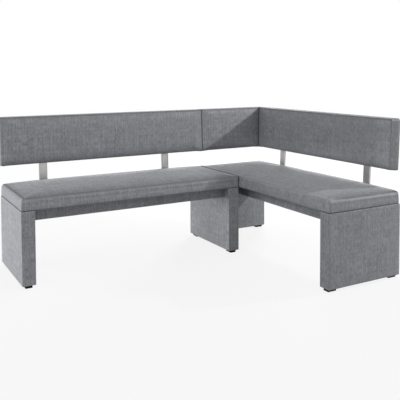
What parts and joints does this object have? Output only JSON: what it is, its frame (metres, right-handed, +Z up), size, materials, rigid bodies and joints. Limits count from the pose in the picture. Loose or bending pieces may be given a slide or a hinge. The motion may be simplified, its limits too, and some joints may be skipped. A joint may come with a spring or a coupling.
{
  "type": "corner bench",
  "caption": "Upholstered corner bench of two seat units on panel legs, with low padded backrests carried on flat steel uprights.",
  "frame": {"origin": "on the floor under the middle of the bench's overall box", "axes": "+X along the long unit towards the corner, +Y from the long seat's front to its back, +Z up; the short unit runs from the corner towards -Y and its back faces -X"},
  "size_m": [1.9826, 1.4626, 0.8974],
  "materials": {
    "upholstery_fabric": "matte",
    "foam": "matte",
    "dust_cloth": "matte",
    "timber_panel": "matte",
    "upright_steel": "satin",
    "bracket_steel": "satin",
    "spacer_steel": "satin",
    "fastener_steel": "satin",
    "foot_plastic": "matte"
  },
  "bodies": {
    "root": {"joining_brackets": "bracket_steel", "joining_screws": "fastener_steel", "long_left_upright": "upright_steel", "long_right_upright": "upright_steel", "long_seat_cover": "upholstery_fabric", "long_seat_foam": "foam", "long_seat_board": "timber_panel", "long_dust_cloth": "dust_cloth", "long_front_apron_cover": "upholstery_fabric", "long_front_apron_board": "timber_panel", "long_rear_apron_cover": "upholstery_fabric", "long_rear_apron_board": "timber_panel", "long_left_leg_cover": "upholstery_fabric", "long_left_leg_frame": "timber_panel", "long_right_leg_cover": "upholstery_fabric", "long_right_leg_frame": "timber_panel", "long_leg_skins": "timber_panel", "long_feet": "foot_plastic", "long_angle_brackets": "bracket_steel", "long_bracket_screws": "fastener_steel", "long_upright_bolts": "fastener_steel", "long_back_screws": "fastener_steel", "short_left_upright": "upright_steel", "short_right_upright": "upright_steel", "short_seat_cover": "upholstery_fabric", "short_seat_foam": "foam", "short_seat_board": "timber_panel", "short_dust_cloth": "dust_cloth", "short_front_apron_cover": "upholstery_fabric", "short_front_apron_board": "timber_panel", "short_rear_apron_cover": "upholstery_fabric", "short_rear_apron_board": "timber_panel", "short_left_leg_cover": "upholstery_fabric", "short_left_leg_frame": "timber_panel", "short_right_leg_cover": "upholstery_fabric", "short_right_leg_frame": "timber_panel", "short_leg_skins": "timber_panel", "short_feet": "foot_plastic", "short_angle_brackets": "bracket_steel", "short_bracket_screws": "fastener_steel", "short_upright_bolts": "fastener_steel", "short_back_screws": "fastener_steel", "long_back_cover": "upholstery_fabric", "long_back_front_foam": "foam", "long_back_board": "timber_panel", "long_back_rear_foam": "foam", "short_back_cover": "upholstery_fabric", "short_back_front_foam": "foam", "short_back_board": "timber_panel", "short_back_rear_foam": "foam", "corner_back_cover": "upholstery_fabric", "corner_back_front_foam": "foam", "corner_back_board": "timber_panel", "corner_back_rear_foam": "foam", "corner_plate": "bracket_steel", "corner_plate_screws": "fastener_steel", "foot_screws": "fastener_steel", "upright_spacers": "spacer_steel"}
  },
  "joints": []
}
